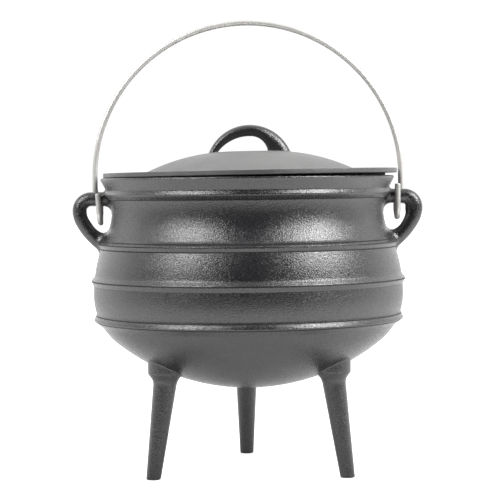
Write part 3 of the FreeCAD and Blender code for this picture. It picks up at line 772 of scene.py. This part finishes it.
def build_bail():
    """The bail: a round wire swept along its path without twisting."""
    path = bail_path()
    turn = around(WIRE_COLUMNS)
    side = np.array([1.0, 0.0, 0.0])
    rows = []
    for point, way in zip(path, unit(np.gradient(path, axis=0))):
        side = side - way * side.dot(way)
        side /= np.linalg.norm(side)
        other = np.cross(way, side)
        ways = [side * math.cos(angle) + other * math.sin(angle) for angle in turn]
        rows.append([point + WIRE_RADIUS * outward for outward in ways])
    rows = np.array(rows)
    builder = Builder()
    first, last = wire_end(rows[0], rows[1]), wire_end(rows[-1], rows[-2])
    builder.add(np.vstack([first, rows[1:-1], last[::-1]]), cap_first=True, cap_last=True)
    return as_object("bail_wire", builder.vertices, builder.faces, "bail_body", "bail")


# Materials

WARM_TINT = (1.10, 1.0, 0.9)
ROUGH_SPREAD = 0.06


class Shader:
    """Short words for building a material's nodes."""

    def __init__(self, name):
        self.material = bpy.data.materials.new(name)
        self.material.use_nodes = True
        self.tree = self.material.node_tree
        self.tree.nodes.clear()
        self.output = self.add("ShaderNodeOutputMaterial")
        self.place = self.add("ShaderNodeTexCoord").outputs["Object"]

    def add(self, kind, **settings):
        node = self.tree.nodes.new(kind)
        for key, value in settings.items():
            setattr(node, key, value)
        return node

    def link(self, source, target):
        self.tree.links.new(source, target)

    def feed(self, socket, value):
        """Link another node's output to a socket, or set a plain value."""
        if isinstance(value, bpy.types.NodeSocket):
            self.link(value, socket)
        else:
            socket.default_value = value

    def noise(self, scale, detail=2.0, roughness=0.5):
        node = self.add("ShaderNodeTexNoise")
        self.link(self.place, node.inputs["Vector"])
        node.inputs["Scale"].default_value = scale
        node.inputs["Detail"].default_value = detail
        node.inputs["Roughness"].default_value = roughness
        return node.outputs["Fac"]

    def cells(self, scale):
        node = self.add("ShaderNodeTexVoronoi")
        self.link(self.place, node.inputs["Vector"])
        node.inputs["Scale"].default_value = scale
        return node.outputs["Distance"]

    def stretch(self, low, high, value, to_low=0.0, to_high=1.0):
        """Map low to high onto another range, 0 to 1 unless given."""
        node = self.add("ShaderNodeMapRange", clamp=True)
        self.feed(node.inputs["Value"], value)
        node.inputs["From Min"].default_value = low
        node.inputs["From Max"].default_value = high
        node.inputs["To Min"].default_value = to_low
        node.inputs["To Max"].default_value = to_high
        return node.outputs["Result"]

    def combine(self, operation, first, second):
        """Two numbers put together by one of the math node's operations."""
        node = self.add("ShaderNodeMath", operation=operation)
        self.feed(node.inputs[0], first)
        self.feed(node.inputs[1], second)
        return node.outputs[0]

    def mix(self, share, first, second):
        """A colour between two others; each is a colour of three numbers or an output."""
        node = self.add("ShaderNodeMix", data_type="RGBA")
        self.feed(node.inputs["Factor"], share)
        for socket, value in ((node.inputs[6], first), (node.inputs[7], second)):
            self.feed(socket, value if isinstance(value, bpy.types.NodeSocket) else (*value, 1.0))
        return node.outputs[2]

    def bump(self, height, distance, strength=1.0, normal=None):
        """Relief from a height, on top of another relief where one is given."""
        node = self.add("ShaderNodeBump")
        self.link(height, node.inputs["Height"])
        node.inputs["Distance"].default_value = distance
        node.inputs["Strength"].default_value = strength
        if normal is not None:
            self.link(normal, node.inputs["Normal"])
        return node.outputs["Normal"]

    def finish(self, color, roughness, normal, metallic=0.0, specular=0.5):
        """Join everything to a surface and give back the material."""
        node = self.add("ShaderNodeBsdfPrincipled")
        self.feed(node.inputs["Base Color"], color)
        self.feed(node.inputs["Roughness"], roughness)
        node.inputs["Metallic"].default_value = metallic
        node.inputs["Specular IOR Level"].default_value = specular
        self.link(normal, node.inputs["Normal"])
        self.link(node.outputs[0], self.output.inputs["Surface"])
        return self.material


def iron(name, dark, light, grain, rough, specular):
    """Sand-cast iron under a thin dark coat: grain, a few pits and slightly worn warm patches."""
    s = Shader(name)
    fine = s.noise(2000.0, detail=2.0, roughness=0.6)
    medium = s.noise(1150.0, detail=1.0, roughness=0.5)
    coarse = s.noise(240.0, detail=2.0, roughness=0.5)
    broad = s.noise(34.0, detail=3.0, roughness=0.6)
    pits = s.stretch(0.0, 0.16, s.cells(105.0))
    rare = s.stretch(0.60, 0.66, s.noise(26.0, detail=1.0))
    pit_depth = s.combine("MAXIMUM", pits, s.combine("SUBTRACT", 1.0, rare))
    tone = s.mix(s.stretch(0.3, 0.72, broad), dark, light)
    warm = s.stretch(0.52, 0.72, s.noise(13.0, detail=4.0, roughness=0.65), to_high=0.35)
    tone = s.mix(warm, tone, tuple(value * tint for value, tint in zip(light, WARM_TINT)))
    normal = s.bump(broad, distance=0.0006, strength=0.2)
    normal = s.bump(coarse, distance=0.0005, strength=0.09 * grain, normal=normal)
    normal = s.bump(medium, distance=0.00035, strength=grain, normal=normal)
    normal = s.bump(fine, distance=0.00006, strength=grain, normal=normal)
    normal = s.bump(pit_depth, distance=0.0003, strength=0.8, normal=normal)
    roughness = s.stretch(0.3, 0.7, medium, rough - ROUGH_SPREAD, rough + ROUGH_SPREAD)
    return s.finish(tone, roughness, normal, specular=specular)


def galvanised(name):
    """Drawn steel wire with a dull zinc coat."""
    dull, bright, stain = (0.60, 0.59, 0.57), (0.70, 0.69, 0.67), (0.34, 0.33, 0.31)
    s = Shader(name)
    spots = s.noise(420.0, detail=3.0, roughness=0.6)
    broad = s.noise(60.0, detail=3.0, roughness=0.6)
    tone = s.mix(s.stretch(0.3, 0.7, broad), dull, bright)
    tone = s.mix(s.stretch(0.64, 0.78, spots, to_high=0.1), tone, stain)
    normal = s.bump(broad, distance=0.0001, strength=0.1)
    roughness = s.stretch(0.3, 0.7, spots, to_low=0.36, to_high=0.40)
    return s.finish(tone, roughness, normal, metallic=0.5)


pot_piece = build_pot()
lid_piece = build_lid()
bail_piece = build_bail()

# The darkest and the lightest tone of each iron: the coat; the lid, paler than the coat as painted
# light from above; its edge, with less of that painted light; the creases, a painted shade
COAT_TONES = ((0.010, 0.010, 0.012), (0.018, 0.0175, 0.018))
LID_PAINTED_LIGHT_TONES = ((0.120, 0.120, 0.121), (0.152, 0.151, 0.150))
EDGE_TONES = ((0.038, 0.038, 0.039), (0.060, 0.059, 0.059))
PAINTED_SHADE_TONES = ((0.006, 0.006, 0.006), (0.009, 0.009, 0.009))
pot_iron = iron("pot_iron", *COAT_TONES, grain=0.9, rough=0.25, specular=1.0)
# The lid's iron is the pot's coat, painted paler to stand in for the light falling on the dome
lid_painted_light_iron = iron("lid_painted_light_iron", *LID_PAINTED_LIGHT_TONES, grain=0.6, rough=0.56, specular=0.7)
# A near-black iron that paints shade into the creases and onto the lid's lower corner
painted_shade_iron = iron("painted_shade_iron", *PAINTED_SHADE_TONES, grain=0.4, rough=0.6, specular=0.35)
handle_iron = iron("handle_iron", *COAT_TONES, grain=0.7, rough=0.30, specular=1.0)
edge_iron = iron("edge_iron", *EDGE_TONES, grain=1.5, rough=0.36, specular=0.9)
wire_zinc = galvanised("wire_zinc")
for piece, *materials in (
    (pot_piece, pot_iron, painted_shade_iron),
    (lid_piece, lid_painted_light_iron, handle_iron, edge_iron, painted_shade_iron),
    (bail_piece, wire_zinc),
):
    for material in materials:
        piece.data.materials.append(material)
for name, material in (("pot", pot_iron), ("lid", lid_painted_light_iron), ("bail", wire_zinc)):
    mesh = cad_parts[name].data
    mesh.materials.clear()
    mesh.materials.append(material)

# Studio: a white floor, a white surround and soft lamps

FLOOR_SIZE = 14.0
FLOOR_FRONT = -0.75
FLOOR_PAINT = 0.66
FLOOR_NEAR = 0.72
FLOOR_FAR = 1.05
FLOOR_MIRRORED = 0.55
WORLD_FRONT = 0.02
WORLD_BACK = 1.5
WORLD_TOP = 0.8
WORLD_SEEN = 1.05
WHITE = (1.0, 1.0, 1.0, 1.0)
LAMP_TARGET = (0.0, 0.0, 0.2)


def white_floor():
    """A floor that glows for the camera, more with distance, and less where the iron mirrors it."""
    mesh = bpy.data.meshes.new("studio_floor")
    near, far, side = FLOOR_FRONT, FLOOR_SIZE, FLOOR_SIZE
    corners = [(-side, near, 0), (side, near, 0), (side, far, 0), (-side, far, 0)]
    mesh.from_pydata(corners, [], [(0, 1, 2, 3)])
    floor = bpy.data.objects.new("studio_floor", mesh)
    bpy.context.scene.collection.objects.link(floor)
    s = Shader("studio_white")
    paint = s.add("ShaderNodeBsdfDiffuse")
    paint.inputs["Color"].default_value = (FLOOR_PAINT, FLOOR_PAINT, FLOOR_PAINT, 1.0)
    glow = s.add("ShaderNodeEmission")
    glow.inputs["Color"].default_value = WHITE
    path = s.add("ShaderNodeLightPath")
    length = s.add("ShaderNodeVectorMath", operation="LENGTH")
    s.link(s.place, length.inputs[0])
    distance = length.outputs["Value"]
    seen = s.stretch(0.5, 2.6, distance, FLOOR_NEAR, FLOOR_FAR)
    mirrored = s.stretch(0.1, 0.4, distance, to_high=FLOOR_MIRRORED)
    strength = s.combine(
        "ADD",
        s.combine("MULTIPLY", path.outputs["Is Camera Ray"], seen),
        s.combine("MULTIPLY", path.outputs["Is Glossy Ray"], mirrored),
    )
    s.link(strength, glow.inputs["Strength"])
    both = s.add("ShaderNodeAddShader")
    s.link(paint.outputs[0], both.inputs[0])
    s.link(glow.outputs[0], both.inputs[1])
    s.link(both.outputs[0], s.output.inputs["Surface"])
    mesh.materials.append(s.material)


def white_surround():
    """White where the camera looks at it; as light, bright behind, dim in front and overhead."""
    world = bpy.data.worlds.new("studio")
    bpy.context.scene.world = world
    world.use_nodes = True
    tree = world.node_tree
    tree.nodes.clear()

    def ramp(socket, low, high, to_low, to_high):
        node = tree.nodes.new("ShaderNodeMapRange")
        node.interpolation_type = "SMOOTHSTEP"
        node.inputs["From Min"].default_value = low
        node.inputs["From Max"].default_value = high
        node.inputs["To Min"].default_value = to_low
        node.inputs["To Max"].default_value = to_high
        tree.links.new(socket, node.inputs["Value"])
        return node.outputs["Result"]

    split = tree.nodes.new("ShaderNodeSeparateXYZ")
    place = tree.nodes.new("ShaderNodeTexCoord")
    tree.links.new(place.outputs["Generated"], split.inputs[0])
    behind = ramp(split.outputs["Y"], -0.6, 0.6, WORLD_FRONT, WORLD_BACK)
    overhead = ramp(split.outputs["Z"], 0.25, 1.0, 1.0, WORLD_TOP)
    light = tree.nodes.new("ShaderNodeMath")
    light.operation = "MULTIPLY"
    tree.links.new(behind, light.inputs[0])
    tree.links.new(overhead, light.inputs[1])
    path = tree.nodes.new("ShaderNodeLightPath")
    strength = tree.nodes.new("ShaderNodeMix")
    tree.links.new(path.outputs["Is Camera Ray"], strength.inputs["Factor"])
    tree.links.new(light.outputs[0], strength.inputs[2])
    strength.inputs[3].default_value = WORLD_SEEN
    shader = tree.nodes.new("ShaderNodeBackground")
    shader.inputs["Color"].default_value = WHITE
    output = tree.nodes.new("ShaderNodeOutputWorld")
    tree.links.new(strength.outputs[0], shader.inputs["Strength"])
    tree.links.new(shader.outputs[0], output.inputs["Surface"])


def soft_lamp(name, bearing, elevation, distance, width, height, power):
    """A softbox aimed at the pot; the bearing is from the camera's side, positive to its right."""
    target = Vector(LAMP_TARGET)
    side, up = math.radians(bearing), math.radians(elevation)
    way = Vector((math.sin(side) * math.cos(up), -math.cos(side) * math.cos(up), math.sin(up)))
    data = bpy.data.lights.new(name, "AREA")
    data.shape = "RECTANGLE"
    data.size, data.size_y = width, height
    data.energy = power
    lamp = bpy.data.objects.new(name, data)
    lamp.location = target + way * distance
    lamp.rotation_euler = (-way).to_track_quat("-Z", "Y").to_euler()
    bpy.context.scene.collection.objects.link(lamp)


white_floor()
white_surround()
soft_lamp("lamp_right", 62.0, 36.0, distance=1.7, width=0.65, height=0.95, power=34.0)
soft_lamp("lamp_left", -52.0, 36.0, distance=1.7, width=0.65, height=0.95, power=22.0)
soft_lamp("lamp_top", 10.0, 84.0, distance=1.9, width=1.6, height=1.6, power=5.0)

# The photo's own viewpoint: the lens and the picture in pixels, the camera's place in metres, and
# how far it looks down and is rolled in degrees

LENS_PIXELS = 1757.2
PICTURE_PIXELS = 500
SENSOR_WIDTH = 36.0
CAMERA_PLACE = (0.0018, -1.565, 0.2552)
CAMERA_DOWN = 2.15
CAMERA_ROLL = 0.68

camera_data = bpy.data.cameras.new("camera")
camera_data.sensor_width = SENSOR_WIDTH
camera_data.lens = LENS_PIXELS / PICTURE_PIXELS * SENSOR_WIDTH
camera = bpy.data.objects.new("camera", camera_data)
camera.location = CAMERA_PLACE
level = Matrix.Rotation(math.radians(90 - CAMERA_DOWN), 3, "X")
aim = level @ Matrix.Rotation(math.radians(-CAMERA_ROLL), 3, "Z")
camera.rotation_euler = aim.to_euler()
bpy.context.scene.collection.objects.link(camera)
bpy.context.scene.camera = camera
bpy.context.scene.view_settings.view_transform = "Standard"
